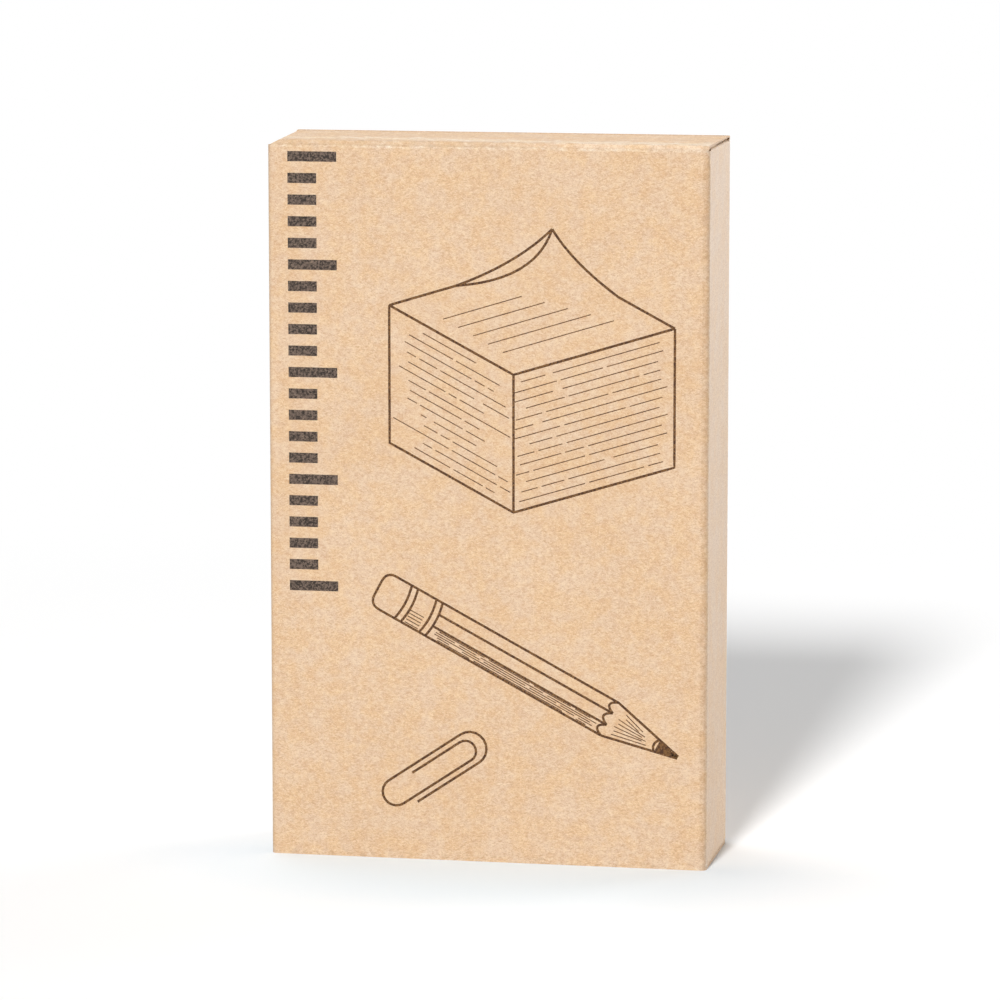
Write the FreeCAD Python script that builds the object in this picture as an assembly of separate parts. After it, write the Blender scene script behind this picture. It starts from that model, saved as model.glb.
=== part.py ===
import FreeCAD, Part
import math
import os

# A kraft tuck-end carton standing on its end, with a wooden memo pad holder packed inside it.
# Lengths are millimetres and angles degrees. X runs across the printed front, Y from front to back,
# Z up from the floor, and the origin is the middle of the footprint.

# Carton, over its outside
carton_width = 100.0
carton_depth = 30.9
carton_height = 162.7

# Board and folds
board = 0.6
fold_inner_radius = 0.6
layer_gap = 0.1  # air between two boards that lie on each other
square_fold = 90.0
half_turn = 180.0

# Glued seam at the back left corner
glue_flap_width = 14.0
glue_flap_taper = 12.0  # angle of its two ends

# End closures and their tuck flaps
closure_side_inset = 0.1
slit_length = 4.0  # cut at each end of the tuck's fold, which locks on the dust flaps
tuck_length = 9.5
tuck_gap = 0.4  # between the tuck's fold and the wall that it slides behind
tuck_swing_gap = 0.65  # room that its tip keeps from that wall on the way out
tuck_side_inset = 1.5
tuck_corner_radius = 6.0
tuck_clearance = 0.3

# Dust flaps under the closures
dust_length = 24.0
dust_clearance = 0.4
dust_front_taper = 27.0
dust_back_taper = 8.0
dust_corner_radius = 3.0
ear_gap = 0.5  # between the closure's slit and the wall's ear that stands at the corner behind it

# Holder, lying on end with its lip up and its tray towards the front
holder_side_gap = 1.4
holder_end_gap = 0.2
holder_edge_radius = 1.2
lip_thickness = 17.0
groove_width = 18.0
groove_depth = 16.0
divider_thickness = 7.7
tray_rim = 10.0
tray_depth = 14.0
tray_corner_radius = 2.0

# Pad of A7 notes in the tray
pad_gap = 1.0
pad_thickness = 10.0
pad_card = 0.8

cut_overrun = 1.0
point_tolerance = 0.01

# Directions
across = FreeCAD.Vector(1, 0, 0)
back = FreeCAD.Vector(0, 1, 0)
up = FreeCAD.Vector(0, 0, 1)

# Places that the sizes above settle
half_width = carton_width / 2
half_depth = carton_depth / 2
half_height = carton_height / 2
fold_radius = board + fold_inner_radius
layer_step = board + layer_gap
closure_width = carton_width - 2 * closure_side_inset
closure_reach = carton_depth - board - tuck_gap
swing_radius = carton_depth - board - tuck_swing_gap
lean_sine = (closure_reach**2 + tuck_length**2 - swing_radius**2) / (2 * closure_reach * tuck_length)
tuck_lean = math.degrees(math.asin(lean_sine))
tuck_fold = square_fold + tuck_lean
side_top = carton_height - layer_step  # fold line of the top dust flaps
holder_face_gap = tuck_gap + tuck_length * lean_sine + board + tuck_clearance
holder_width = carton_width - 2 * (board + holder_side_gap)
holder_thickness = carton_depth - 2 * (board + holder_face_gap)
holder_base_height = board + layer_step + holder_end_gap
holder_length = carton_height - 2 * holder_base_height


def fold_tangent(fold):
    return fold_radius * math.tan(math.radians(fold / 2))


def bend_point(centre, radius, turn):
    angle = math.radians(turn)
    rise = radius * math.cos(angle) - fold_radius
    return FreeCAD.Vector(centre + radius * math.sin(angle), 0, rise)


def bend_arc(centre, radius, first, last):
    ends = [bend_point(centre, radius, turn) for turn in (first, (first + last) / 2, last)]
    return Part.Arc(*ends).toShape()


def bend_edges(centre, fold, toward_end):
    # Half a fold, cut along the line that halves its angle, or a plain cut edge where there is no fold.
    inner = fold_radius - board
    turn = fold / 2
    if not toward_end:
        turn = -turn
    mitre = [bend_point(centre, fold_radius, turn), bend_point(centre, inner, turn)]
    arcs = []
    if fold:
        arcs = [bend_arc(centre, fold_radius, 0, turn), bend_arc(centre, inner, 0, turn)]
    return [Part.makeLine(*mitre)] + arcs


def strip(length, width, start_fold, end_fold):
    # A strip of board along X from one outer corner to the other, its outer face on Z zero.
    start = fold_tangent(start_fold)
    end = length - fold_tangent(end_fold)
    edges = bend_edges(start, start_fold, False) + bend_edges(end, end_fold, True)
    for radius in (fold_radius, fold_radius - board):
        edges.append(Part.makeLine(bend_point(start, radius, 0), bend_point(end, radius, 0)))
    return swept(edges, width)


def half_bend(width, fold):
    # The start of such a strip alone, up to where its fold ends.
    start = fold_tangent(fold)
    end = Part.makeLine(bend_point(start, fold_radius, 0), bend_point(start, fold_radius - board, 0))
    return swept(bend_edges(start, fold, False) + [end], width)


def swept(edges, width):
    face = Part.Face(Part.Wire(Part.__sortEdges__(edges)))
    sheet = face.extrude(FreeCAD.Vector(0, width, 0))
    sheet.translate(FreeCAD.Vector(0, -width / 2, 0))
    return sheet


def placed(shape, corner, along, outward):
    turn = FreeCAD.Rotation(along, outward.cross(along), outward, "XZY")
    moved = shape.copy()
    moved.Placement = FreeCAD.Placement(corner, turn).multiply(shape.Placement)
    return moved


def turned(shape):
    # The carton's bottom is its top, half turned about X.
    flipped = shape.copy()
    flipped.rotate(FreeCAD.Vector(0, 0, half_height), across, half_turn)
    return flipped


def outline_prism(corners, depth, rounded_count, radius):
    # An outline pushed along a vector. Its last corners are the rounded ones.
    prism = Part.Face(Part.makePolygon(corners + corners[:1])).extrude(depth)
    rounded = corners[len(corners) - rounded_count:]
    picked = []
    for edge in prism.Edges:
        first, last = [vertex.Point for vertex in edge.Vertexes]
        runs_through = abs(abs((last - first).dot(depth)) - depth.dot(depth)) < point_tolerance
        if runs_through and any(first.distanceToLine(corner, depth) < point_tolerance for corner in rounded):
            picked.append(edge)
    return prism.makeFillet(radius, picked) if picked else prism


def trimmed(sheet, outline, rounded_count, radius):
    floor = -fold_radius - cut_overrun
    corners = [FreeCAD.Vector(run, side, floor) for run, side in outline]
    return sheet.common(outline_prism(corners, up * (cut_overrun - floor), rounded_count, radius))


def without_fold_ends(sheet, start, end, width, length):
    # A strip with a fold between two runs cut away for a length at each side.
    cuts = []
    for low in (-width / 2, width / 2 - length):
        cut = Part.makeBox(end - start, length, fold_radius + 2 * cut_overrun)
        cut.translate(FreeCAD.Vector(start, low, -fold_radius - cut_overrun))
        cuts.append(cut)
    return sheet.cut(cuts)


def joined(*shapes):
    return shapes[0].fuse(list(shapes[1:])).removeSplitter()


def upright(corner_x, corner_y, along, outward, length, folds, low, high):
    corner = FreeCAD.Vector(corner_x, corner_y, (low + high) / 2)
    return placed(strip(length, high - low, *folds), corner, along, outward)


# Walls

def closure_fold():
    half = half_bend(closure_width, square_fold)
    return placed(half, FreeCAD.Vector(0, -half_depth, carton_height), -up, -back)


def front_panel():
    folds = (square_fold, square_fold)
    top = carton_height - fold_radius
    plate = upright(-half_width, -half_depth, across, -back, carton_width, folds, 0, top)
    return joined(plate, closure_fold())


def back_panel():
    folds = (square_fold, 0)
    plate = upright(half_width, half_depth, -across, back, carton_width, folds, fold_radius, carton_height)
    return joined(plate, turned(closure_fold()))


def dust_fold(side):
    # The wall's half of a dust flap's fold, and what it takes out of the wall.
    front, rear = dust_edges(0)
    width = rear - front
    half = half_bend(width, square_fold)
    seat = Part.makeBox(fold_radius + cut_overrun, width, fold_radius + 2 * cut_overrun)
    seat.translate(FreeCAD.Vector(-cut_overrun, -width / 2, -fold_radius - cut_overrun))
    corner = FreeCAD.Vector(side * half_width, (front + rear) / 2, side_top)
    return [placed(shape, corner, -up, across * side) for shape in (half, seat)]


def rim_cut(side, front, rear, low):
    thickness = 2 * (fold_radius + cut_overrun)
    cut = Part.makeBox(thickness, rear - front, carton_height + cut_overrun - low)
    cut.translate(FreeCAD.Vector(side * half_width - thickness / 2, front, low))
    return cut


def side_panel(side, depth):
    # The rim drops under the closure, and an ear stands at the corner where the tuck's slit leaves room.
    folds = (square_fold, square_fold)
    plate = upright(side * half_width, -half_depth, back, across * side, depth, folds, 0, carton_height)
    fold, seat = dust_fold(side)
    front = dust_edges(0)[0]
    ear = closure_reach - half_depth - fold_tangent(tuck_fold) + ear_gap
    cuts = [
        seat,
        rim_cut(side, -half_depth - cut_overrun, front, carton_height - fold_radius),
        rim_cut(side, front, ear, side_top),
    ]
    return joined(plate.cut(cuts + [turned(cut) for cut in cuts]), fold, turned(fold))


def glue_flap():
    reach = tuck_length + tuck_clearance
    height = carton_height - 2 * reach
    taper = glue_flap_width * math.tan(math.radians(glue_flap_taper))
    root = height / 2
    tip = root - taper
    outline = [(-cut_overrun, root), (-cut_overrun, -root), (0, -root)]
    outline += [(glue_flap_width, -tip), (glue_flap_width, tip), (0, root)]
    sheet = trimmed(strip(glue_flap_width, height, square_fold, 0), outline, 0, 0)
    corner = FreeCAD.Vector(-half_width, half_depth - layer_step, half_height)
    return placed(sheet, corner, across, back)


# End closures, drawn at the top

def closure_panel():
    sheet = strip(closure_reach, closure_width, square_fold, tuck_fold)
    slit_start = closure_reach - fold_tangent(tuck_fold)
    sheet = without_fold_ends(sheet, slit_start, closure_reach + cut_overrun, closure_width, slit_length)
    return placed(sheet, FreeCAD.Vector(0, -half_depth, carton_height), back, up)


def tuck_flap():
    width = closure_width - 2 * tuck_side_inset
    sheet = strip(tuck_length, closure_width, tuck_fold, 0)
    sheet = without_fold_ends(sheet, -cut_overrun, fold_tangent(tuck_fold), closure_width, slit_length)
    outline = [(-cut_overrun, width / 2), (-cut_overrun, -width / 2)]
    outline += [(tuck_length, -width / 2), (tuck_length, width / 2)]
    sheet = trimmed(sheet, outline, 2, tuck_corner_radius)
    lean = math.radians(tuck_lean)
    along = -up * math.cos(lean) - back * math.sin(lean)
    outward = back * math.cos(lean) - up * math.sin(lean)
    return placed(sheet, FreeCAD.Vector(0, closure_reach - half_depth, carton_height), along, outward)


def dust_edges(run):
    # Where the flap's front and back edges lie, a given way in from its fold.
    front_gap = fold_tangent(square_fold) + dust_clearance
    back_gap = board + tuck_gap + fold_tangent(tuck_fold) + dust_clearance
    front = front_gap - half_depth + run * math.tan(math.radians(dust_front_taper))
    rear = half_depth - back_gap - run * math.tan(math.radians(dust_back_taper))
    return front, rear


def dust_flap(side):
    sheet = strip(dust_length, carton_depth, square_fold, 0)
    root_front, root_rear = dust_edges(0)
    tip_front, tip_rear = dust_edges(dust_length)
    outline = [(0, root_rear), (-cut_overrun, root_rear), (-cut_overrun, root_front), (0, root_front)]
    outline += [(dust_length, tip_front), (dust_length, tip_rear)]
    outline = [(run, -side * place) for run, place in outline]
    sheet = trimmed(sheet, outline, 2, dust_corner_radius)
    return placed(sheet, FreeCAD.Vector(side * half_width, 0, side_top), -across * side, up)


# Contents

def holder_block(width, thickness, length, front, low):
    block = Part.makeBox(width, thickness, length)
    block.translate(FreeCAD.Vector(-width / 2, front, low))
    return block


def tray_span():
    low = holder_base_height + tray_rim
    high = holder_base_height + holder_length - lip_thickness - groove_width - divider_thickness
    return low, high


def holder_base():
    front = -holder_thickness / 2
    block = holder_block(holder_width, holder_thickness, holder_length, front, holder_base_height)
    block = block.makeFillet(holder_edge_radius, block.Edges)
    groove_low = holder_base_height + holder_length - lip_thickness - groove_width
    groove = holder_block(carton_width, groove_depth + cut_overrun, groove_width, front - cut_overrun, groove_low)
    low, high = tray_span()
    half = holder_width / 2 - tray_rim
    mouth = front - cut_overrun
    corners = [(-half, low), (half, low), (half, high), (-half, high)]
    corners = [FreeCAD.Vector(place, mouth, height) for place, height in corners]
    tray = outline_prism(corners, back * (tray_depth + cut_overrun), len(corners), tray_corner_radius)
    return block.cut(groove).cut(tray)


def pad_layer(first, last):
    # A layer of the pad, between two distances from the tray's floor.
    floor = tray_depth - holder_thickness / 2
    low, high = tray_span()
    width = holder_width - 2 * (tray_rim + pad_gap)
    return holder_block(width, last - first, high - low - 2 * pad_gap, floor - last, low + pad_gap)


nodes = {
    "front_panel": front_panel(),
    "back_panel": back_panel(),
    "right_side_panel": side_panel(1, carton_depth),
    "left_side_panel": side_panel(-1, carton_depth - layer_step),
    "glue_flap": glue_flap(),
    "holder_base": holder_base(),
    "note_pad_sheets": pad_layer(pad_card, pad_thickness),
    "note_pad_card": pad_layer(0, pad_card),
}
end_pieces = {
    "closure_panel": closure_panel(),
    "tuck_flap": tuck_flap(),
    "left_dust_flap": dust_flap(-1),
    "right_dust_flap": dust_flap(1),
}
for name, shape in end_pieces.items():
    nodes["top_" + name] = shape
    nodes["bottom_" + name] = turned(shape)

os.makedirs("parts", exist_ok=True)
for name, shape in nodes.items():
    shape.exportStep("parts/" + name + ".step")
    print(name, "valid" if shape.isValid() else "broken", round(shape.Volume))
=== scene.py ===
import math
import random

import bmesh
import bpy
from mathutils import Matrix, Vector, noise


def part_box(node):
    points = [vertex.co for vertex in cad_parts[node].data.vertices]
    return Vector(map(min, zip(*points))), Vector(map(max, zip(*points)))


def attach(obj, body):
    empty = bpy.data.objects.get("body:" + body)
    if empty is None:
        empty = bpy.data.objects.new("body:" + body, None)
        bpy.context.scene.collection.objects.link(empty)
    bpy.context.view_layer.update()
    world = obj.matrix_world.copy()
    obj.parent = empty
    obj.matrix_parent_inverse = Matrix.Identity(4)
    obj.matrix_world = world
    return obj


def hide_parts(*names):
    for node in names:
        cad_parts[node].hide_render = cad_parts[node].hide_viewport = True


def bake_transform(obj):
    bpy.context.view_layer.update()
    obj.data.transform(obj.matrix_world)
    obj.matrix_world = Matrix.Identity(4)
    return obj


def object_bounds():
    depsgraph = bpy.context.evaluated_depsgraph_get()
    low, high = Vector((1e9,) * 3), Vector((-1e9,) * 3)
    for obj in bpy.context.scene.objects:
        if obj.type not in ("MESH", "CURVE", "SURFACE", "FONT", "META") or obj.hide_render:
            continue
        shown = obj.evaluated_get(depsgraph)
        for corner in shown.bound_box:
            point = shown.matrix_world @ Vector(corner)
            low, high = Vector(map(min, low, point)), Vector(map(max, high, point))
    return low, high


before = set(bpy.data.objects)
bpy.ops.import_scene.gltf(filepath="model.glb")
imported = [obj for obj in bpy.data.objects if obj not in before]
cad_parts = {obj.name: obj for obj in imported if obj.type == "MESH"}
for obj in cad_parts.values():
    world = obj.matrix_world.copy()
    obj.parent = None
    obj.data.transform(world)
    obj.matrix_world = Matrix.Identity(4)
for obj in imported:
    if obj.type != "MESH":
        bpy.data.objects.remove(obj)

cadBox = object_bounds()
mm = 0.001
tiny, seam = 1e-6, 1e-7
scene = bpy.context.scene
scene.view_settings.view_transform = "Standard"
across, back, up = Vector((1, 0, 0)), Vector((0, 1, 0)), Vector((0, 0, 1))


# Node helpers

def addNode(tree, kind, inputs=None, **settings):
    node = tree.nodes.new(kind)
    for name, value in settings.items():
        setattr(node, name, value)
    for name, value in (inputs or {}).items():
        if isinstance(value, bpy.types.NodeSocket):
            tree.links.new(value, node.inputs[name])
        else:
            node.inputs[name].default_value = value
    return node


def mathNode(tree, operation, first, second=0.0, third=0.0):
    inputs = {0: first, 1: second, 2: third}
    return addNode(tree, "ShaderNodeMath", inputs, operation=operation).outputs[0]


def fadeBetween(tree, value, low, high, atLow, atHigh):
    inputs = {"Value": value, "From Min": low, "From Max": high, "To Min": atLow, "To Max": atHigh}
    return addNode(tree, "ShaderNodeMapRange", inputs, interpolation_type="SMOOTHSTEP").outputs[0]


def mixColour(tree, share, first, second, blend="MIX"):
    node = addNode(tree, "ShaderNodeMix", data_type="RGBA", blend_type=blend)
    for index, value in ((0, share), (6, first), (7, second)):
        if isinstance(value, bpy.types.NodeSocket):
            tree.links.new(value, node.inputs[index])
        else:
            node.inputs[index].default_value = value
    return node.outputs[2]


def noiseOn(tree, place, scale, detail=2.0, rough=0.5, twist=0.0):
    inputs = {"Vector": place, "Scale": scale, "Detail": detail, "Roughness": rough, "Distortion": twist}
    return addNode(tree, "ShaderNodeTexNoise", inputs).outputs[0]


def stretchedPlace(tree, place, stretch):
    return addNode(tree, "ShaderNodeMapping", {"Vector": place, "Scale": stretch}).outputs[0]


def turnedPlace(tree, place, turn, stretch):
    turn = [math.radians(angle) for angle in turn]
    turned = addNode(tree, "ShaderNodeMapping", {"Vector": place, "Rotation": turn})
    return stretchedPlace(tree, turned.outputs[0], stretch)


def newFinish(name, **fixed):
    finish = bpy.data.materials.new(name)
    finish.use_nodes = True
    tree = finish.node_tree
    shader = tree.nodes["Principled BSDF"]
    for socket, value in fixed.items():
        shader.inputs[socket.replace("_", " ")].default_value = value
    place = addNode(tree, "ShaderNodeTexCoord").outputs["Object"]
    return finish, tree, shader, place


def setLook(tree, shader, colour, rough, height, depth, strength):
    bump = addNode(tree, "ShaderNodeBump", {"Height": height, "Distance": depth, "Strength": strength})
    tree.links.new(colour, shader.inputs["Base Color"])
    tree.links.new(rough, shader.inputs["Roughness"])
    tree.links.new(bump.outputs[0], shader.inputs["Normal"])


# Kraft board: outer face, cut core and inner face

kraft = {
    "warm": (0.740, 0.497, 0.289, 1),
    "rosy": (0.738, 0.534, 0.366, 1),
    "broadTones": ((0.985, 0.975, 0.960, 1), (1.015, 1.025, 1.040, 1)),
    "mottleTones": ((0.900, 0.835, 0.797, 1), (1.100, 1.165, 1.203, 1)),
    "mottleStretch": (740, 740, 960),
    "darkFibre": (0.52, 0.295, 0.155, 1),
    "lightFibre": (0.87, 0.665, 0.455, 1),
    # Multiplied tones: painted shade at the folds and rear edges that also darkens scuffs, a painted
    # highlight that also lightens scuffs, and painted shade at the right upright corners
    "shadeAndScuff": (0.765, 0.757, 0.733, 1),
    "highlightAndScuff": (1.137, 1.291, 1.470, 1),
    "corner": (0.758, 0.699, 0.636, 1),
    "core": (0.72, 0.49, 0.305, 1),
    "coreDark": (0.59, 0.395, 0.24, 1),
    "insideWarm": (0.62, 0.43, 0.27, 1),
    "insideRosy": (0.66, 0.47, 0.31, 1),
    "fibreTurns": ((0, 18, 0), (0, -30, 10), (15, 4, -8), (10, -65, 75), (20, 42, 95)),
    "fibreStretch": (950, 4100, 4100),
    "fibreShares": (0.70, 0.58),
    "plyStretch": (1800, 1800, 1800),
    "streakStretch": (220, 900, 220),
    "scuffStretch": (760, 420, 1300),
    "bandPlace": 8.0 * mm,
    "bandShift": -3.0 * mm,
    "bandWidth": 3.2 * mm,
    "bandSpread": 2.8 * mm,
    "bandWave": 1.6 * mm,
    "bandRagged": 2.0 * mm,
    "foldReach": (0.9 * mm, 1.3 * mm),
    "scoreLine": 1.35 * mm,
    "cornerReach": (1.65 * mm, 2.2 * mm),
    "cornerShift": 0.35 * mm,
}


def fibreMasks(tree, place):
    light, dark = [], []
    for turn in kraft["fibreTurns"]:
        spread = turnedPlace(tree, place, turn, kraft["fibreStretch"])
        strands = noiseOn(tree, spread, 1.0, 1.5, 0.45, 0.6)
        light.append(fadeBetween(tree, strands, 0.60, 0.74, 0, 1))
        dark.append(fadeBetween(tree, strands, 0.27, 0.41, 1, 0))
    masks = []
    for group in (light, dark):
        total = group[0]
        for mask in group[1:]:
            total = mathNode(tree, "MAXIMUM", total, mask)
        masks.append(total)
    return masks


def tint(tree, colour, tone, *shares):
    # A tone over the board where all the shares meet, so that its grain shows through
    total = shares[0]
    for share in shares[1:]:
        total = mathNode(tree, "MULTIPLY", total, share)
    return mixColour(tree, total, colour, kraft[tone], "MULTIPLY")


def paintedHighlightBand(tree, place, colour, run, end, rightward):
    # A painted highlight: the pale, ragged band across a closure
    streak = noiseOn(tree, stretchedPlace(tree, place, kraft["streakStretch"]), 1.0, 3, 0.6)
    waveSize, raggedSize = kraft["bandWave"], kraft["bandRagged"]
    wave = fadeBetween(tree, noiseOn(tree, place, 45, 1), 0.2, 0.8, -waveSize, waveSize)
    ragged = fadeBetween(tree, noiseOn(tree, place, 320, 2), 0.3, 0.7, -raggedSize, raggedSize)
    centre = mathNode(tree, "ADD", mathNode(tree, "ADD", wave, ragged), kraft["bandPlace"])
    centre = mathNode(tree, "MULTIPLY_ADD", rightward, kraft["bandShift"], centre)
    spread = mathNode(tree, "MULTIPLY_ADD", rightward, kraft["bandSpread"], kraft["bandWidth"])
    away = mathNode(tree, "ABSOLUTE", mathNode(tree, "SUBTRACT", run, centre))
    away = mathNode(tree, "DIVIDE", away, spread)
    return tint(tree, colour, "highlightAndScuff", fadeBetween(tree, away, 0.2, 1.0, 1, 0),
                fadeBetween(tree, end, 0.05 * mm, 0.3 * mm, 1, 0),
                fadeBetween(tree, streak, 0.34, 0.62, 0.5, 1.15))


def foldLightAndScuffs(tree, place, colour, run, end, rightward, rear):
    # Painted shade along the scored fold and the closure's rear edge, painted highlights on the fold's
    # right part and along the score line, then scuffs on both ends
    nearFold = fadeBetween(tree, mathNode(tree, "MAXIMUM", end, run), *kraft["foldReach"], 1, 0)
    colour = tint(tree, colour, "shadeAndScuff", nearFold, fadeBetween(tree, rightward, 0.5, 0.85, 0.75, 0.35))
    colour = tint(tree, colour, "highlightAndScuff", nearFold, fadeBetween(tree, rightward, 0.6, 0.9, 0, 0.15))
    colour = tint(tree, colour, "shadeAndScuff", fadeBetween(tree, run, rear - 4.0 * mm, rear - 2.2 * mm, 0, 0.5),
                  fadeBetween(tree, run, rear - 0.8 * mm, rear - 0.5 * mm, 1, 0),
                  fadeBetween(tree, end, *kraft["foldReach"], 1, 0))
    scuff = noiseOn(tree, stretchedPlace(tree, place, kraft["scuffStretch"]), 1.0, 3, 0.6)
    scored = mathNode(tree, "ABSOLUTE", mathNode(tree, "SUBTRACT", end, kraft["scoreLine"]))
    colour = tint(tree, colour, "highlightAndScuff", fadeBetween(tree, scored, 0.1 * mm, 0.4 * mm, 1, 0),
                  fadeBetween(tree, run, 0.2 * mm, 0.4 * mm, 1, 0),
                  fadeBetween(tree, scuff, 0.40, 0.60, 0.15, 0.75))
    atEnd = fadeBetween(tree, end, 1.0 * mm, 1.8 * mm, 1, 0)
    colour = tint(tree, colour, "highlightAndScuff", atEnd, fadeBetween(tree, scuff, 0.52, 0.66, 0, 0.45))
    return tint(tree, colour, "shadeAndScuff", atEnd, fadeBetween(tree, scuff, 0.34, 0.48, 0.4, 0))


def paintedCornerLight(tree, place, colour, side, face, rightward):
    # Upright corners towards the right: painted shade on the face, a painted highlight round the side
    cornerJitter = fadeBetween(tree, noiseOn(tree, place, 330, 3), 0.35, 0.65, 0.2 * mm, 0.5 * mm)
    edge = mathNode(tree, "ADD", mathNode(tree, "MAXIMUM", side, face), cornerJitter)
    cornerNoise = noiseOn(tree, place, 780, 2)
    shift = fadeBetween(tree, cornerNoise, 0.35, 0.65, -kraft["cornerShift"], kraft["cornerShift"])
    lean = mathNode(tree, "ADD", mathNode(tree, "SUBTRACT", side, face), shift)
    nearCorner = mathNode(tree, "MULTIPLY", fadeBetween(tree, edge, *kraft["cornerReach"], 1, 0),
                          fadeBetween(tree, rightward, 0.2, 0.8, 0, 1))
    nearCorner = mathNode(tree, "MULTIPLY", nearCorner, fadeBetween(tree, cornerNoise, 0.38, 0.60, 0.45, 1.25))
    colour = tint(tree, colour, "corner", nearCorner, fadeBetween(tree, lean, -0.2 * mm, 0.8 * mm, 0, 0.45))
    return tint(tree, colour, "highlightAndScuff", nearCorner, fadeBetween(tree, lean, -1.0 * mm, -0.2 * mm, 0.45, 0))


def paintedLightAndScuffs(tree, place, colour):
    # Distances from the carton's planes, and how far along a closure and to the right a point lies
    low, high = cadBox
    middle, half = (low + high) / 2, (high - low) / 2
    offset = addNode(tree, "ShaderNodeVectorMath", {0: place, 1: middle}, operation="SUBTRACT").outputs[0]
    width, depth, height = addNode(tree, "ShaderNodeSeparateXYZ", {0: offset}).outputs
    side, face, end = [mathNode(tree, "SUBTRACT", reach, mathNode(tree, "ABSOLUTE", part))
                       for reach, part in zip(half, (width, depth, height))]
    run = mathNode(tree, "MULTIPLY_ADD", depth, mathNode(tree, "SIGN", height), half.y)
    rightward = fadeBetween(tree, width, -half.x, half.x, 0, 1)
    colour = paintedHighlightBand(tree, place, colour, run, end, rightward)
    colour = foldLightAndScuffs(tree, place, colour, run, end, rightward, 2 * half.y)
    return paintedCornerLight(tree, place, colour, side, face, rightward)


def kraftFinish(name, warm, rosy, folds):
    finish, tree, shader, place = newFinish(name, Specular_IOR_Level=0.45)
    broad = noiseOn(tree, place, 50, 2, 0.5)
    cloud = noiseOn(tree, place, 190, 3, 0.6)
    mottle = noiseOn(tree, stretchedPlace(tree, place, kraft["mottleStretch"]), 1.0, 4, 0.8)
    colour = mixColour(tree, fadeBetween(tree, cloud, 0.35, 0.65, 0, 1), warm, rosy)
    for share, tones in ((fadeBetween(tree, broad, 0.3, 0.7, 0, 1), kraft["broadTones"]),
                         (fadeBetween(tree, mottle, 0.25, 0.75, 0, 1), kraft["mottleTones"])):
        colour = mixColour(tree, 1.0, colour, mixColour(tree, share, *tones), "MULTIPLY")
    light, dark = fibreMasks(tree, place)
    for mask, share, tone in zip((light, dark), kraft["fibreShares"], ("lightFibre", "darkFibre")):
        colour = mixColour(tree, mathNode(tree, "MULTIPLY", mask, share), colour, kraft[tone])
    # Painted highlights and shade at the folds, across the closures and at the right corners, and scuffs at
    # the ends
    if folds:
        colour = paintedLightAndScuffs(tree, place, colour)
    height = mathNode(tree, "MULTIPLY_ADD", light, 0.5, mottle)
    rough = fadeBetween(tree, mottle, 0.3, 0.7, 0.54, 0.66)
    setLook(tree, shader, colour, rough, height, 0.05 * mm, 0.5)
    return finish


def coreFinish():
    finish, tree, shader, place = newFinish("board_core", Specular_IOR_Level=0.2)
    plies = noiseOn(tree, stretchedPlace(tree, place, kraft["plyStretch"]), 1.0, 4, 0.7)
    share = fadeBetween(tree, plies, 0.35, 0.65, 0, 1)
    colour = mixColour(tree, share, kraft["coreDark"], kraft["core"])
    rough = fadeBetween(tree, plies, 0.3, 0.7, 0.55, 0.7)
    setLook(tree, shader, colour, rough, plies, 0.08 * mm, 0.6)
    return finish


kraftFace = kraftFinish("kraft_face", kraft["warm"], kraft["rosy"], True)
kraftInside = kraftFinish("kraft_inside", kraft["insideWarm"], kraft["insideRosy"], False)
boardFinishes = [kraftFace, coreFinish(), kraftInside]
print("board finishes made")


# Board pieces, each an outer face that is bent first and then gets its thickness

carton = {
    "width": 100.0 * mm,
    "depth": 30.9 * mm,
    "height": 162.7 * mm,
    "board": 0.6 * mm,
    "foldRadius": 1.2 * mm,
    "creaseRadius": 0.65 * mm,
    "layerStep": 0.7 * mm,
    "bendSteps": 9,
    "cell": 4.5 * mm,
    "bow": 0.12 * mm,
    "bowUneven": 0.35,
    "bowScale": 16,
    "sharpAngle": 35.0,
}
halfWidth, halfDepth, tall = carton["width"] / 2, carton["depth"] / 2, carton["height"]
foldRadius, creaseRadius, board = carton["foldRadius"], carton["creaseRadius"], carton["board"]
square = math.radians(90)
halfTurn = Matrix.Translation((0, 0, tall)) @ Matrix.Rotation(math.pi, 4, "X")


def placing(corner, along, outward):
    turn = Matrix((along, outward.cross(along), outward)).transposed().to_4x4()
    return Matrix.Translation(corner) @ turn


def foldTangent(fold):
    return foldRadius * math.tan(fold / 2)


def flatGrid(start, end, low, high):
    sheet = bmesh.new()
    counts = [max(2, round(span / carton["cell"])) for span in (end - start, high - low)]
    bmesh.ops.create_grid(sheet, x_segments=counts[0], y_segments=counts[1], size=0.5)
    bmesh.ops.scale(sheet, vec=(end - start, high - low, 1), verts=sheet.verts)
    bmesh.ops.translate(sheet, vec=((start + end) / 2, (low + high) / 2, 0), verts=sheet.verts)
    return sheet


def edgesAt(sheet, axis, value):
    return [edge for edge in sheet.edges
            if all(abs(vert.co[axis] - value) < tiny for vert in edge.verts)]


def curl(sheet, edges, run, radius, turn, steps):
    bmesh.ops.spin(sheet, geom=edges, cent=(run, 0, -radius), axis=(0, 1, 0), angle=turn, steps=steps)


def cutAcross(sheet, axis, value):
    normal = Vector((0, 0, 0))
    normal[axis] = 1
    geom = sheet.verts[:] + sheet.edges[:] + sheet.faces[:]
    bmesh.ops.bisect_plane(sheet, geom=geom, dist=seam, plane_co=normal * value, plane_no=normal)


def panelSheet(length, low, high, startFold, endFold):
    start, end = foldTangent(startFold), length - foldTangent(endFold)
    sheet = flatGrid(start, end, low, high)
    for fold, run, sign in ((startFold, start, -1), (endFold, end, 1)):
        if fold:
            curl(sheet, edgesAt(sheet, 0, run), run, foldRadius, sign * fold / 2, carton["bendSteps"])
    return sheet


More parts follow.
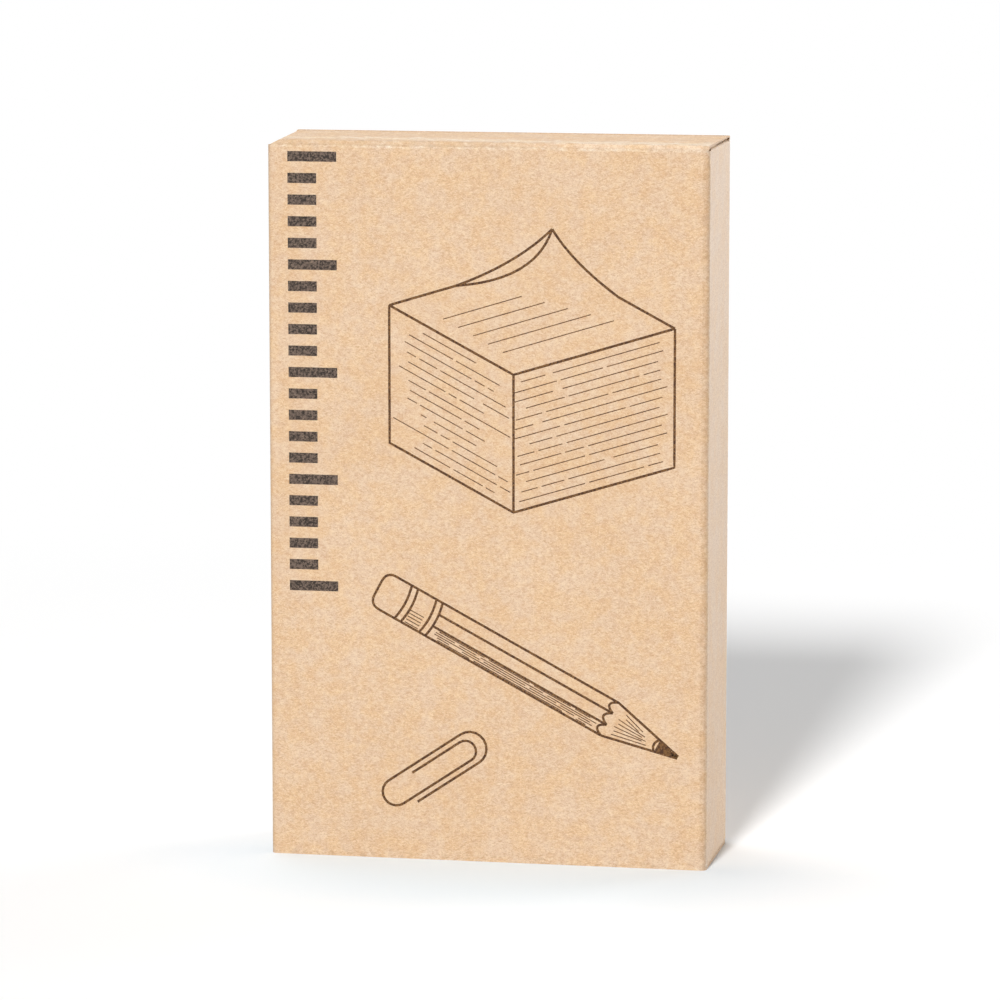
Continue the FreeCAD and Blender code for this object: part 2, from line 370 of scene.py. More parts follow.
def bowIn(sheet, start, end, low, high, depth):
    for vert in sheet.verts:
        if start < vert.co.x < end and low < vert.co.y < high and abs(vert.co.z) < tiny:
            vert.co.z = -bowDepth(vert.co.x, vert.co.y, start, end, low, high, depth)


def bowDepth(run, rise, start, end, low, high, depth):
    arch = math.sin(math.pi * (run - start) / (end - start))
    arch *= math.sin(math.pi * (rise - low) / (high - low))
    uneven = noise.noise(Vector((run, rise, depth)) * carton["bowScale"])
    return depth * arch * (1 + carton["bowUneven"] * uneven)


def outwardFaces(sheet):
    bmesh.ops.remove_doubles(sheet, verts=sheet.verts, dist=seam)
    bmesh.ops.recalc_face_normals(sheet, faces=sheet.faces)
    flattest = max(sheet.faces, key=lambda face: abs(face.normal.z) * face.calc_area())
    if flattest.normal.z < 0:
        bmesh.ops.reverse_faces(sheet, faces=sheet.faces)


def addObject(name, data):
    made = bpy.data.objects.new(name, data)
    scene.collection.objects.link(made)
    return made


def meshFrom(name, shape):
    mesh = bpy.data.meshes.new(name)
    shape.to_mesh(mesh)
    shape.free()
    return mesh


def finalMesh(piece):
    # The mesh with its modifiers or its curve's bevel applied
    bpy.context.view_layer.update()
    shown = piece.evaluated_get(bpy.context.evaluated_depsgraph_get())
    return bpy.data.meshes.new_from_object(shown)


def boardPiece(name, sheet, place):
    outwardFaces(sheet)
    bmesh.ops.transform(sheet, matrix=place, verts=sheet.verts)
    piece = addObject(name, meshFrom(name, sheet))
    for finish in boardFinishes:
        piece.data.materials.append(finish)
    thicken = piece.modifiers.new("board", "SOLIDIFY")
    thicken.thickness, thicken.offset = board, -1
    thicken.use_even_offset = True
    thicken.material_offset_rim, thicken.material_offset = 1, 2
    solid = finalMesh(piece)
    piece.modifiers.clear()
    piece.data = solid
    softenFaces(solid)
    return piece


def softenFaces(mesh):
    shell = bmesh.new()
    shell.from_mesh(mesh)
    for face in shell.faces:
        face.smooth = True
    for edge in shell.edges:
        edge.smooth = edge.calc_face_angle(math.pi) < math.radians(carton["sharpAngle"])
    shell.to_mesh(mesh)
    shell.free()


def addWall(name, node, corner, along, outward, length, folds, low, high, seats=()):
    sheet = panelSheet(length, low, high, *folds)
    for seat in seats:
        takeOut(sheet, *seat)
    bowIn(sheet, foldTangent(folds[0]), length - foldTangent(folds[1]), low, high, carton["bow"])
    piece = boardPiece(name, sheet, placing(Vector(corner), along, outward))
    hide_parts(node)
    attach(piece, "carton")


def takeOut(sheet, first, last, low, high):
    for axis, places in ((0, (first, last)), (1, (low, high))):
        for place in places:
            cutAcross(sheet, axis, place)
    gone = []
    for face in sheet.faces:
        middle = face.calc_center_median()
        if first < middle.x < last and low < middle.y < high:
            gone.append(face)
    bmesh.ops.delete(sheet, geom=gone, context="FACES")


tuck = {
    "reach": 9.5 * mm,
    "gap": 0.4 * mm,
    "swingGap": 0.65 * mm,
    "sideInset": 1.5 * mm,
    "cornerRadius": 6.0 * mm,
    "slit": 4.0 * mm,
    "curlIn": 0.15 * mm,
}
closureReach = carton["depth"] - board - tuck["gap"]
swingRadius = carton["depth"] - board - tuck["swingGap"]
leanSine = (closureReach**2 + tuck["reach"]**2 - swingRadius**2) / (2 * closureReach * tuck["reach"])
tuckLean = math.asin(leanSine)
tuckFold = square + tuckLean

dust = {
    "reach": 24.0 * mm,
    "frontTaper": math.radians(27),
    "backTaper": math.radians(8),
    "cornerRadius": 3.0 * mm,
    "clearance": 0.4 * mm,
    "earGap": 0.5 * mm,
    "sinks": {"left": 0.5 * mm, "right": 0.0},
    "cornerPower": {"top": 2.0, "bottom": 7.0},
}
dustFront = foldRadius + dust["clearance"] - halfDepth
dustRear = halfDepth - board - tuck["gap"] - foldTangent(tuckFold) - dust["clearance"]
ear = closureReach - halfDepth - foldTangent(tuckFold) + dust["earGap"]

# Walls
wallTop = tall - foldRadius
leftBack = halfDepth - carton["layerStep"]


def sideTopAt(word):
    return tall - carton["layerStep"] - dust["sinks"][word]


def rimCuts(word, runAt):
    # What a side wall loses at both ends: hinge corner, rim under the closure, dust flap's seat
    cuts = []
    sideTop = sideTopAt(word)
    for flip in (1, -1):
        for first, last, low in ((-halfDepth - mm, dustFront, wallTop), (dustFront, ear, sideTop),
                                 (dustFront, dustRear, sideTop - creaseRadius)):
            span = sorted((runAt(flip * first), runAt(flip * last)))
            cuts.append((*span, low, tall + mm) if flip > 0 else (*span, -mm, tall - low))
    return cuts


addWall("front_board", "front_panel", (-halfWidth, -halfDepth, 0), across, -back,
        carton["width"], (square, square), 0, wallTop)
addWall("back_board", "back_panel", (halfWidth, halfDepth, 0), -across, back,
        carton["width"], (square, 0), foldRadius, tall)
addWall("right_side_board", "right_side_panel", (halfWidth, -halfDepth, 0), back, across,
        carton["depth"], (square, square), 0, tall, rimCuts("right", lambda place: halfDepth + place))
addWall("left_side_board", "left_side_panel", (-halfWidth, leftBack, 0), -back, -across,
        halfDepth + leftBack, (square, square), 0, tall, rimCuts("left", lambda place: leftBack - place))

glueFlap = {
    "width": 14.0 * mm,
    "taper": math.radians(12),
    "endGap": 9.8 * mm,
}
glueHalf = tall / 2 - glueFlap["endGap"]
glueSheet = panelSheet(glueFlap["width"], -glueHalf, glueHalf, square, 0)
for vert in glueSheet.verts:
    vert.co.y *= 1 - max(vert.co.x, 0) * math.tan(glueFlap["taper"]) / glueHalf
gluePlace = placing(Vector((-halfWidth, leftBack, tall / 2)), across, back)
gluePiece = boardPiece("glue_flap_board", glueSheet, gluePlace)
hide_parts("glue_flap")
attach(gluePiece, "carton")
print("walls made")


# End closures: each flap is flat board, and each fold a curved strip of board between two parts

closure = {
    "sideInset": 0.1 * mm,
    "cornerRelief": 0.3 * mm,
    "frontTrim": 2.6 * mm,
    "rearTrim": 0.5 * mm,
    "edgeThin": {"top": 0.35 * mm, "bottom": 0.0},
}
closureHalf = halfWidth - closure["sideInset"]


def cornerFace(start, end, startEdges, endEdges):
    # One flat face from its fold to its tip, along X, between two edges at either end
    sheet = bmesh.new()
    bmesh.ops.create_grid(sheet, x_segments=1, y_segments=1, size=0.5)
    for vert in sheet.verts:
        edges = startEdges if vert.co.x < 0 else endEdges
        vert.co = ((start if vert.co.x < 0 else end), edges[0 if vert.co.y < 0 else 1], 0)
    return sheet


def roundTip(sheet, radius):
    tip = max(vert.co.x for vert in sheet.verts)
    corners = [vert for vert in sheet.verts if vert.co.x > tip - tiny]
    for vert in corners:
        first, second = [(edge.other_vert(vert).co - vert.co) for edge in vert.link_edges]
        cut = radius / math.tan(first.angle(second) / 2)
        bmesh.ops.bevel(sheet, geom=[vert], offset=cut, offset_type="OFFSET", affect="VERTICES",
                        segments=8, profile=0.5, material=-1)


def addFlap(name, node, body, sheet, place):
    piece = boardPiece(name, sheet, place)
    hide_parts(node)
    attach(piece, body)
    return piece


def squareUp(piece, place, radius, power):
    # The bend's outer face is pressed out towards its corner, its inner face stays round
    toStrip = place.inverted()
    for vert in piece.data.vertices:
        spot = toStrip @ vert.co
        arm = Vector((spot.x, spot.z + radius))
        if arm.length > radius - board / 2:
            arm /= sum(abs(part / arm.length)**power for part in arm)**(1 / power)
            vert.co = place @ Vector((arm.x, spot.y, arm.y - radius))


def addFold(name, bodies, low, high, radius, fold, place, slope=(0, 0), rising=False, power=2.0):
    # A strip of board round the whole fold, from the first body's edge to the second's
    strip = bmesh.new()
    ends = [strip.verts.new((0, side, 0)) for side in (low, high)]
    line = strip.edges.new(ends)
    bmesh.ops.subdivide_edges(strip, edges=[line], cuts=max(1, round((high - low) / carton["cell"])))
    curl(strip, strip.edges[:], 0, radius, fold, 2 * carton["bendSteps"])
    for vert in strip.verts:
        run = max(0, vert.co.x if rising else -vert.co.z)
        share = (vert.co.y - low) / (high - low)
        vert.co.y += run * (slope[0] * (1 - share) + slope[1] * share)
    piece = boardPiece(name, strip, place)
    squareUp(piece, place, radius, power)
    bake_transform(piece)


def addEnd(end, turn):
    closurePlace = turn @ placing(Vector((0, -halfDepth, tall)), back, up)
    closureEnd = closureReach - foldTangent(tuckFold)
    flat = flatGrid(foldRadius, closureEnd, -closureHalf, closureHalf)
    for vert in flat.verts:
        # The closure is trimmed along its left edge, more towards its fold
        share = (vert.co.x - foldRadius) / (closureEnd - foldRadius)
        trim = closure["frontTrim"] * (1 - share) + closure["rearTrim"] * share
        vert.co.y -= trim * (vert.co.y + closureHalf) / (2 * closureHalf)
    panel = addFlap(end + "_closure_board", end + "_closure_panel", end + "_closure", flat, closurePlace)
    for vert in panel.data.vertices:
        # The right edge is crushed thin from below, more towards the rear
        spot = closurePlace.inverted() @ vert.co
        if spot.y < tiny - closureHalf and spot.z < -board / 2:
            spot.z += closure["edgeThin"][end] * (spot.x - foldRadius) / (closureEnd - foldRadius)
            vert.co = closurePlace @ spot
    relief = closure["cornerRelief"]
    slopes = (-relief / foldRadius, (relief - closure["frontTrim"]) / foldRadius)
    frontFold = turn @ placing(Vector((0, -halfDepth, wallTop)), up, -back)
    addFold(end + "_closure_fold_strip", ("carton", end + "_closure"),
            relief - closureHalf, closureHalf - relief, foldRadius, square, frontFold, slopes, rising=True)

    tuckHalf = closureHalf - tuck["sideInset"]
    tuckStart = foldTangent(tuckFold)
    flap = cornerFace(tuckStart, tuck["reach"], (-tuckHalf, tuckHalf), (-tuckHalf, tuckHalf))
    roundTip(flap, tuck["cornerRadius"])
    for share in (0.2, 0.4, 0.6, 0.8):
        cutAcross(flap, 0, tuckStart + share * (tuck["reach"] - tuckStart))
    for vert in flap.verts:
        vert.co.z = -tuck["curlIn"] * ((vert.co.x - tuckStart) / (tuck["reach"] - tuckStart))**2
    corner = Vector((0, closureReach - halfDepth, tall))
    along = -up * math.cos(tuckLean) - back * math.sin(tuckLean)
    outward = back * math.cos(tuckLean) - up * math.sin(tuckLean)
    tuckPlace = turn @ placing(corner, along, outward)
    addFlap(end + "_tuck_board", end + "_tuck_flap", end + "_tuck", flap, tuckPlace)
    slitHalf = closureHalf - tuck["slit"]
    tuckFoldPlace = turn @ placing(corner - back * tuckStart, back, up)
    addFold(end + "_tuck_fold_strip", (end + "_closure", end + "_tuck"),
            -slitHalf, slitHalf, foldRadius, tuckFold, tuckFoldPlace)

    for word, side in (("left", -1), ("right", 1)):
        slopes = (math.tan(dust["frontTaper"]), -math.tan(dust["backTaper"]))
        edges = [(dustFront + run * slopes[0], dustRear + run * slopes[1])
                 for run in (creaseRadius, dust["reach"], 0)]
        edges = [sorted(-side * place for place in pair) for pair in edges]
        if side > 0:
            slopes = (-slopes[1], -slopes[0])
        name, sideTop = end + "_" + word + "_dust", sideTopAt(word)
        flap = cornerFace(creaseRadius, dust["reach"], edges[0], edges[1])
        roundTip(flap, dust["cornerRadius"])
        flapPlace = turn @ placing(Vector((side * halfWidth, 0, sideTop)), -across * side, up)
        addFlap(name + "_board", name + "_flap", name, flap, flapPlace)
        wallCorner = Vector((side * halfWidth, 0, sideTop - creaseRadius))
        wallPlace = turn @ placing(wallCorner, up, across * side)
        addFold(name + "_fold_strip", ("carton", name), *edges[2], creaseRadius, square, wallPlace, slopes,
                power=dust["cornerPower"][end])


addEnd("top", Matrix.Identity(4))
addEnd("bottom", halfTurn)
print("closures made")


# Print on the front: a ruler's marks, a block of notes, a pencil and a paper clip
# Strokes are in millimetres from the front's lower left corner

ink = {
    "bold": 2.3 * mm,
    "outline": 0.58 * mm,
    "fine": 0.23 * mm,
    "lift": 0.008 * mm,
    "spacing": 2.0,
    "shortest": 0.06,
    "break": 0.025,
    "markTones": ((0.013, 0.006, 0.002, 1), (0.172, 0.122, 0.094, 1), (0.300, 0.215, 0.150, 1)),
    "lineTones": ((0.050, 0.015, 0.002, 1), (0.200, 0.095, 0.030, 1), (0.330, 0.190, 0.090, 1)),
}
draw = random.Random(11)
strokes = {"bold": [], "outline": [], "fine": []}


def addStroke(weight, *points):
    strokes[weight].append([Vector(point) for point in points])


def arcPoints(centre, radius, first, last, count=10):
    angles = [math.radians(first + (last - first) * step / count) for step in range(count + 1)]
    return [Vector(centre) + radius * Vector((math.cos(angle), math.sin(angle))) for angle in angles]


def curvePoints(first, pull, last, count=12):
    first, pull, last = Vector(first), Vector(pull), Vector(last)
    shares = [step / count for step in range(count + 1)]
    return [first * (1 - s)**2 + pull * 2 * s * (1 - s) + last * s**2 for s in shares]


def brokenLine(weight, first, last, gaps, ragged):
    # A hand drawn line with its ends drawn in and a few short breaks
    first, last = Vector(first), Vector(last)
    marks = [draw.uniform(0, ragged), 1 - draw.uniform(0, ragged)]
    marks = sorted(marks + [draw.uniform(0.1, 0.9) for _ in range(gaps)])
    for start, end in zip(marks, marks[1:]):
        if end - start > ink["shortest"]:
            addStroke(weight, first.lerp(last, start), first.lerp(last, end - ink["break"]))


rulerMarks = {
    "left": 4.6,
    "low": 62.0,
    "step": 4.85,
    "count": 21,
    "long": 11.2,
    "short": 6.6,
}
for mark in range(rulerMarks["count"]):
    rise = rulerMarks["low"] + mark * rulerMarks["step"]
    reach = rulerMarks["long"] if mark % 5 == 0 else rulerMarks["short"]
    addStroke("bold", (rulerMarks["left"], rise), (rulerMarks["left"] + reach, rise))

noteBlock = {
    "corner": (56.0, 80.0),
    "right": 38.0,
    "left": 32.0,
    "tall": 31.0,
    "rightTurn": math.radians(17),
    "leftTurn": math.radians(152),
    "sheets": 15,
    "curlRise": 13,
    "ruledLines": 5,
    "ruledStep": 0.12,
}


def blockPoint(right, left, rise):
    turns = noteBlock["rightTurn"], noteBlock["leftTurn"]
    run = right * Vector((math.cos(turns[0]), math.sin(turns[0])))
    run += left * Vector((math.cos(turns[1]), math.sin(turns[1])))
    return Vector(noteBlock["corner"]) + run + Vector((0, rise))


def drawNoteBlock():
    right, left, rise = noteBlock["right"], noteBlock["left"], noteBlock["tall"]
    addStroke("outline", blockPoint(right, 0, rise), blockPoint(right, 0, 0), blockPoint(0, 0, 0),
              blockPoint(0, left, 0), blockPoint(0, left, rise))
    addStroke("outline", blockPoint(0, 0, 0), blockPoint(0, 0, rise))
    addStroke("outline", blockPoint(0, left, rise), blockPoint(0, 0, rise), blockPoint(right, 0, rise))
    curlStart, curlEnd = blockPoint(0.42 * right, left, rise), blockPoint(right, 0.45 * left, rise)
    lifted = blockPoint(0.80 * right, 0.72 * left, rise + noteBlock["curlRise"])
    addStroke("outline", blockPoint(0, left, rise), curlStart)
    addStroke("outline", *curvePoints(curlStart, blockPoint(0.80 * right, left, rise + 1), lifted))
    addStroke("outline", blockPoint(right, 0, rise), curlEnd)
    addStroke("outline", *curvePoints(curlEnd, blockPoint(right, 0.82 * left, rise + 2), lifted))
    addStroke("outline", *curvePoints(curlStart, blockPoint(0.62 * right, 0.62 * left, rise + 5), lifted))
    for sheet in range(1, noteBlock["sheets"]):
        level = rise * sheet / noteBlock["sheets"]
        brokenLine("fine", blockPoint(0, 0, level), blockPoint(right, 0, level), 2, 0.08)
        brokenLine("fine", blockPoint(0, 0, level), blockPoint(0, left, level), 2, 0.30)
    for line in range(1, noteBlock["ruledLines"] + 1):
        inward = left * noteBlock["ruledStep"] * (line + 1)
        reach = right * (0.86 - 0.05 * line)
        addStroke("fine", blockPoint(right * 0.12, inward, rise), blockPoint(reach, inward, rise))


pencil = {
    "end": (25.0, 62.0),
    "turn": math.radians(-28),
    "half": 4.3,
    "ridge": 1.5,
    "rubber": 6.5,
    "ferrule": 14.5,
    "wood": 60.0,
    "lead": 72.0,
    "tip": 77.5,
    "endRound": 2.5,
    "ringStep": 1.6,
    "ringBulge": 1.1,
    "scallop": 3.2,
    "leadBulge": 1.2,
}


def pencilPoint(run, side):
    turn = pencil["turn"]
    along = Vector((math.cos(turn), math.sin(turn)))
    return Vector(pencil["end"]) + run * along + side * Vector((-along.y, along.x))


def drawAcross(run, side, bulge, count):
    addStroke("outline", *curvePoints(pencilPoint(run, -side), pencilPoint(run + bulge, 0),
                                      pencilPoint(run, side), count))


def drawPencil():
    half, ridge = pencil["half"], pencil["ridge"]
    rubber, ferrule, wood, lead, tip = (pencil[key] for key in ("rubber", "ferrule", "wood", "lead", "tip"))
    rounded, step = pencil["endRound"], pencil["ringStep"]
    for side in (-half, half):
        addStroke("outline", pencilPoint(rounded, side), pencilPoint(wood, side))
        addStroke("outline", pencilPoint(wood, side), pencilPoint(tip, 0.25 * side / half))
        addStroke("outline", *curvePoints(pencilPoint(rounded, side), pencilPoint(0, side),
                                          pencilPoint(0, side * 0.4), 6))
    addStroke("outline", pencilPoint(0, -half * 0.4), pencilPoint(0, half * 0.4))
    for run in (rubber, rubber + step, ferrule - step, ferrule):
        drawAcross(run, half, pencil["ringBulge"], 8)
    for side in (-ridge, ridge):
        addStroke("outline", pencilPoint(ferrule + 0.6, side), pencilPoint(wood, side))
    for low, high in ((-half, -ridge), (-ridge, ridge), (ridge, half)):
        bulge = pencilPoint(wood - pencil["scallop"], (low + high) / 2)
        addStroke("outline", *curvePoints(pencilPoint(wood, low), bulge, pencilPoint(wood, high), 8))
    taper = (tip - lead) / (tip - wood) * half
    drawAcross(lead, taper, -pencil["leadBulge"], 6)
    for share in (-0.7, -0.35, 0, 0.35, 0.7):
        addStroke("outline", pencilPoint(lead + 0.2, taper * share), pencilPoint(tip, 0.1 * share))
    for line in range(5):
        # Shade along the lower face
        side = -half + (half - ridge) * (line + 0.9) / 5.8
        brokenLine("fine", pencilPoint(ferrule + 1, side), pencilPoint(wood - 0.6, side), 3, 0.06)
    for line in range(-3, 4):
        # Grain on the sharpened wood
        side = line / 4 * half
        near = wood + 1.5 + draw.uniform(0, 2)
        far = lead - 2 - draw.uniform(0, 3)
        shrink = (tip - lead) / (tip - wood) * 1.15
        addStroke("fine", pencilPoint(near, side * (tip - near) / (tip - wood)),
                  pencilPoint(far, side * shrink))
    for line in range(5):
        # Ribs of the ferrule
        side = -half + 0.5 + line * 0.75
        addStroke("fine", pencilPoint(rubber + 2.4, side), pencilPoint(ferrule - 2.2, side))


paperClip = {
    "middle": (38.0, 20.5),
    "turn": math.radians(34),
    "length": 27.0,
    "radii": (2.4, 3.1, 3.8),
}


def drawPaperClip():
    turn = Matrix.Rotation(paperClip["turn"], 2)
    small, medium, large = paperClip["radii"]
    half = paperClip["length"] / 2
    path = [Vector((-half * 0.35, small))]
    path += arcPoints((half - large - 1.2, 0), small, 90, -90)
    path += arcPoints((-half + medium, medium - small), medium, -90, -270)
    path += arcPoints((half - large, 2 * medium - small - large), large, 90, -90)
    path.append(Vector((-half * 0.55, 2 * medium - small - 2 * large)))
    addStroke("outline", *[Vector(paperClip["middle"]) + turn @ point for point in path])


drawNoteBlock()
drawPencil()
drawPaperClip()


def inkFinish(name, dark, worn, bare):
    finish, tree, shader, place = newFinish(name, Specular_IOR_Level=0.35)
    grain = noiseOn(tree, place, 2300, 2, 0.6)
    fleckPlace = turnedPlace(tree, place, (20, 35, 10), (1700, 4200, 4200))
    fleck = noiseOn(tree, fleckPlace, 1.0, 2, 0.5, 0.5)
    colour = mixColour(tree, fadeBetween(tree, grain, 0.38, 0.66, 0, 1), dark, worn)
    colour = mixColour(tree, fadeBetween(tree, fleck, 0.60, 0.72, 0, 0.8), colour, bare)
    rough = fadeBetween(tree, grain, 0.3, 0.7, 0.55, 0.75)
    setLook(tree, shader, colour, rough, grain, 0.03 * mm, 0.4)
    return finish


markInk = inkFinish("print_mark_ink", *ink["markTones"])
lineInk = inkFinish("print_line_ink", *ink["lineTones"])


def closeSet(points):
    # More points along a stroke, so that it lies on the bowed board
    dense = [points[0]]
    for first, last in zip(points, points[1:]):
        count = max(1, math.ceil((last - first).length / ink["spacing"]))
        dense += [first.lerp(last, (step + 1) / count) for step in range(count)]
    return dense


def addPrint(name, weight, finish):
    width = ink[weight]
    lines = bpy.data.curves.new(name, "CURVE")
    lines.dimensions = "3D"
    lines.bevel_depth, lines.bevel_resolution = width / 2, 1
    lines.use_fill_caps = True
    for points in strokes[weight]:
        points = closeSet(points)
        spline = lines.splines.new("POLY")
        spline.points.add(len(points) - 1)
        for spot, point in zip(spline.points, points):
            spot.co = (point.x * mm, point.y * mm, 0, 1)
    drawn = addObject(name + "_lines", lines)
    mesh = finalMesh(drawn)
    bpy.data.objects.remove(drawn)
    shell = bmesh.new()
    shell.from_mesh(mesh)
    bmesh.ops.scale(shell, vec=(1, 1, 2 * ink["lift"] / width), verts=shell.verts)
    start, end = foldRadius, carton["width"] - foldRadius
    for vert in shell.verts:
        vert.co.z -= bowDepth(vert.co.x, vert.co.y, start, end, 0, wallTop, carton["bow"])
    frontPlace = placing(Vector((-halfWidth, -halfDepth, 0)), across, -back)
    bmesh.ops.transform(shell, matrix=frontPlace, verts=shell.verts)
    shell.to_mesh(mesh)
    shell.free()
    piece = addObject(name, mesh)
    mesh.materials.clear()
    mesh.materials.append(finish)
    for face in mesh.polygons:
        face.use_smooth = False
    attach(piece, "carton")


addPrint("print_ruler_marks", "bold", markInk)
addPrint("print_outlines", "outline", lineInk)
addPrint("print_fine_lines", "fine", lineInk)
print("print made")


# Contents: the wooden holder and the note pad

wood = {
    "early": (0.60, 0.385, 0.205, 1),
    "late": (0.43, 0.245, 0.12, 1),
    "pore": (0.20, 0.10, 0.045, 1),
    "heart": (-0.045, 0.11, 0.05),
    "ringTurn": (5, -4, 0),
    "ringScale": 95.0,
    "ringStretch": (1, 1, 0.10),
    "poreStretch": (2400, 2400, 130),
    "endTrim": 0.4 * mm,
}


def woodFinish():
    finish, tree, shader, place = newFinish("oiled_wood", Specular_IOR_Level=0.4)
    inputs = {0: place, 1: wood["heart"]}
    around = addNode(tree, "ShaderNodeVectorMath", inputs, operation="SUBTRACT").outputs[0]
    grain = turnedPlace(tree, around, wood["ringTurn"], wood["ringStretch"])
    drift = noiseOn(tree, grain, 55, 3, 0.5)
    inputs = {"Vector": grain, "Scale": wood["ringScale"], "Distortion": 3.0, "Detail": 2.0,
              "Detail Scale": 0.5, "Detail Roughness": 0.5}
    wave = addNode(tree, "ShaderNodeTexWave", inputs, wave_type="RINGS", rings_direction="Z",
                   wave_profile="SAW")
    rings = mathNode(tree, "MULTIPLY_ADD", drift, 0.35, mathNode(tree, "MULTIPLY", wave.outputs[1], 0.7))
    colour = mixColour(tree, fadeBetween(tree, rings, 0.25, 0.95, 0, 1), wood["early"], wood["late"])
    pores = noiseOn(tree, stretchedPlace(tree, place, wood["poreStretch"]), 1.0, 2, 0.5)
    pits = fadeBetween(tree, pores, 0.62, 0.72, 0, 1)
    colour = mixColour(tree, mathNode(tree, "MULTIPLY", pits, 0.6), colour, wood["pore"])
    rough = fadeBetween(tree, rings, 0.2, 0.9, 0.58, 0.46)
    height = mathNode(tree, "MULTIPLY_ADD", pits, -0.8, rings)
    setLook(tree, shader, colour, rough, height, 0.06 * mm, 0.5)
    return finish


pad = {
    "layers": 23,
    "slip": 0.14 * mm,
    "paperGrain": 700,
    "cardGrain": 900,
    "paper": (0.86, 0.84, 0.79, 1),
    "paperShade": (0.78, 0.755, 0.70, 1),
    "card": (0.40, 0.375, 0.34, 1),
    "cardFleck": (0.27, 0.25, 0.225, 1),
}


def speckledFinish(name, pale, dark, scale):
    finish, tree, shader, place = newFinish(name, Specular_IOR_Level=0.3)
    pulp = noiseOn(tree, place, scale, 4, 0.65)
    cloud = noiseOn(tree, place, scale / 12, 2, 0.5)
    share = mathNode(tree, "MULTIPLY", fadeBetween(tree, pulp, 0.40, 0.68, 0, 1),
                     fadeBetween(tree, cloud, 0.3, 0.7, 0.4, 1))
    colour = mixColour(tree, share, pale, dark)
    rough = fadeBetween(tree, pulp, 0.3, 0.7, 0.75, 0.9)
    setLook(tree, shader, colour, rough, pulp, 0.03 * mm, 0.35)
    return finish


def addHolder():
    # A touch shorter than the solid, so that its ends clear the lowered dust flaps
    low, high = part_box("holder_base")
    block = bmesh.new()
    block.from_mesh(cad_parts["holder_base"].data)
    bmesh.ops.remove_doubles(block, verts=block.verts, dist=tiny)
    shrink = 1 - 2 * wood["endTrim"] / (high.z - low.z)
    centred = Matrix.Translation(-(low + high) / 2)
    bmesh.ops.scale(block, vec=(1, 1, shrink), space=centred, verts=block.verts)
    mesh = meshFrom("holder_block", block)
    if mesh.has_custom_normals:
        mesh.attributes.remove(mesh.attributes["custom_normal"])
    softenFaces(mesh)
    mesh.materials.append(woodFinish())
    piece = addObject("holder_block", mesh)
    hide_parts("holder_base")
    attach(piece, "carton")


addHolder()
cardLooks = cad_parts["note_pad_card"].data.materials
cardLooks.clear()
cardLooks.append(speckledFinish("grey_card", pad["card"], pad["cardFleck"], pad["cardGrain"]))


def addPad():
    low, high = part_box("note_pad_sheets")
    size = high - low
    stack = bmesh.new()
    slips = random.Random(5)
    for layer in range(pad["layers"]):
        made = bmesh.ops.create_cube(stack, size=1)["verts"]
        sheetSize = (size.x - 2 * pad["slip"], size.y / pad["layers"], size.z - 2 * pad["slip"])
        slip = [slips.uniform(-pad["slip"], pad["slip"]) for _ in range(2)]
        middle = (low + high) / 2 + Vector((slip[0], 0, slip[1]))
        middle.y = low.y + (layer + 0.5) * sheetSize[1]
        bmesh.ops.scale(stack, vec=sheetSize, verts=made)
        bmesh.ops.translate(stack, vec=middle, verts=made)
    mesh = meshFrom("note_pad_stack", stack)
    mesh.materials.append(speckledFinish("note_paper", pad["paper"], pad["paperShade"], pad["paperGrain"]))
    piece = addObject("note_pad_stack", mesh)
    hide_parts("note_pad_sheets")
    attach(piece, "carton")


addPad()
print("contents made")


# Floor, light and camera

floor = {
    "radius": 7.0,
    "white": (0.97, 0.97, 0.97, 1),
    # A painted shade, darker and cooler, on the floor round the carton's foot, mostly in front
    "footShade": (0.855, 0.94, 1.0, 1),
    "footShadeCentre": (0, -0.025, 0),
    "footShadeReach": (0.095, 0.062, 1),
    "bounce": (0.35, 0.35, 0.35, 1),
    "lift": 0.03,
    "fadeStart": 0.32,
    "fadeEnd": 0.50,
}


def seenDirectly(tree):
    # Rays from the camera, from gloss and through glass see the white surround
    path = addNode(tree, "ShaderNodeLightPath").outputs
    seen = mathNode(tree, "MAXIMUM", path["Is Camera Ray"], path["Is Glossy Ray"])
    return mathNode(tree, "MAXIMUM", seen, path["Is Transmission Ray"])


def vectorNode(tree, operation, *inputs):
    inputs = dict(enumerate(inputs))
    node = addNode(tree, "ShaderNodeVectorMath", inputs, operation=operation)
    return node.outputs["Value" if operation == "LENGTH" else "Vector"]


